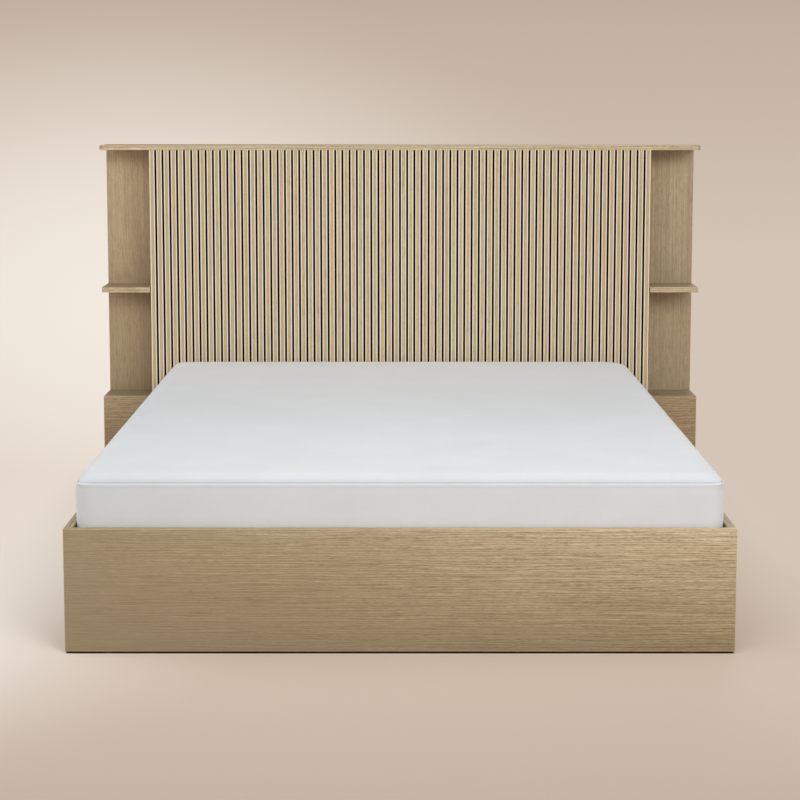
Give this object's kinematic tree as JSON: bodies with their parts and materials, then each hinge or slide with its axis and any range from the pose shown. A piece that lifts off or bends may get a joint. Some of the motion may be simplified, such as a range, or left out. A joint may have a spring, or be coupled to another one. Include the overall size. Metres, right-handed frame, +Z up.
{
  "type": "ottoman bed",
  "caption": "Ottoman bed with a slatted oak headboard, open side niches, a boxed storage base and a gas-lift sprung platform that carries a plain mattress.",
  "frame": {"origin": "centre of the bounding box at floor level", "axes": "+X across the bed to the right seen from the foot, +Y from the foot towards the headboard, +Z up"},
  "size_m": [2.371, 2.21, 1.352],
  "materials": {
    "oak_board": "brushed oak veneer, matt lacquer",
    "oak_slat": "brushed oak slats, matt lacquer",
    "dark_backing": "dark stained board",
    "back_board": "oak coloured board",
    "softwood": "planed softwood",
    "floor_board": "oak coloured laminate board",
    "birch_slat": "clear lacquered birch plywood",
    "holder_plastic": "moulded black plastic",
    "glide_plastic": "moulded dark plastic",
    "buffer_rubber": "black rubber",
    "black_steel": "black powder coat",
    "lift_steel": "grey powder coat",
    "strut_paint": "black gloss paint",
    "strut_chrome": "polished chrome",
    "roller_plastic": "white nylon",
    "bolt_zinc": "zinc plated",
    "strap_webbing": "black woven webbing",
    "mattress_cover": "white knitted cover"
  },
  "bodies": {
    "base": {"base_glides": "glide_plastic", "centre_back_panel": "back_board", "floor_battens": "softwood", "floor_centre_beam": "softwood", "foot_corner_brackets": "black_steel", "footboard": "oak_board", "frame_bolts": "bolt_zinc", "head_corner_brackets": "black_steel", "head_cross_rail": "softwood", "headboard_glides": "glide_plastic", "headboard_lower_panel": "oak_board", "headboard_studs": "back_board", "headboard_top_board": "oak_board", "left_box_front": "oak_board", "left_box_side": "oak_board", "left_box_top": "oak_board", "left_floor_panel": "floor_board", "left_lift_plate": "lift_steel", "left_mid_shelf": "oak_board", "left_niche_back": "oak_board", "left_side_rail": "oak_board", "left_slats": "oak_slat", "left_support_angle": "black_steel", "left_upright": "oak_board", "right_box_front": "oak_board", "right_box_side": "oak_board", "right_box_top": "oak_board", "right_floor_panel": "floor_board", "right_lift_plate": "lift_steel", "right_mid_shelf": "oak_board", "right_niche_back": "oak_board", "right_side_rail": "oak_board", "right_slats": "oak_slat", "right_support_angle": "black_steel", "right_upright": "oak_board", "slat_backing": "dark_backing", "support_buffers": "buffer_rubber"},
    "lift_arms": {"left_lift_arm": "lift_steel", "right_lift_arm": "lift_steel"},
    "strut_cylinders": {"left_strut_cylinder": "strut_paint", "right_strut_cylinder": "strut_paint"},
    "strut_rods": {"left_strut_rod": "strut_chrome", "right_strut_rod": "strut_chrome"},
    "platform": {"centre_tube": "black_steel", "foot_tube": "black_steel", "head_tube": "black_steel", "inner_slat_holders": "holder_plastic", "left_guide_roller": "roller_plastic", "left_lift_bracket": "lift_steel", "left_platform_tube": "black_steel", "left_sprung_slats": "birch_slat", "lift_strap": "strap_webbing", "mattress": "mattress_cover", "mattress_stop": "black_steel", "outer_slat_holders": "holder_plastic", "right_guide_roller": "roller_plastic", "right_lift_bracket": "lift_steel", "right_platform_tube": "black_steel", "right_sprung_slats": "birch_slat"}
  },
  "joints": [
    {"name": "arm_swing", "type": "hinge", "parent": "base", "child": "lift_arms", "pos_m": [0, 0.55451, 0.072], "axis": [1, 0, 0], "range_deg": [0, 63.01]},
    {"name": "platform_tilt", "type": "hinge", "parent": "lift_arms", "child": "platform", "pos_m": [0, 0.797, 0.212], "axis": [-1, 0, 0], "range_deg": [0, 100.8]},
    {"name": "strut_swing", "type": "hinge", "parent": "base", "child": "strut_cylinders", "pos_m": [0, 0.72339, 0.0519], "axis": [1, 0, 0], "range_deg": [0, 31.51]},
    {"name": "rod_swing", "type": "hinge", "parent": "lift_arms", "child": "strut_rods", "pos_m": [0, 0.62451, 0.227], "axis": [-1, 0, 0], "range_deg": [0, 31.51]}
  ],
  "couplings": [
    {"joint": "arm_swing", "follows": "platform_tilt", "ratio": 0.625},
    {"joint": "strut_swing", "follows": "platform_tilt", "ratio": 0.3125},
    {"joint": "rod_swing", "follows": "platform_tilt", "ratio": 0.3125}
  ]
}
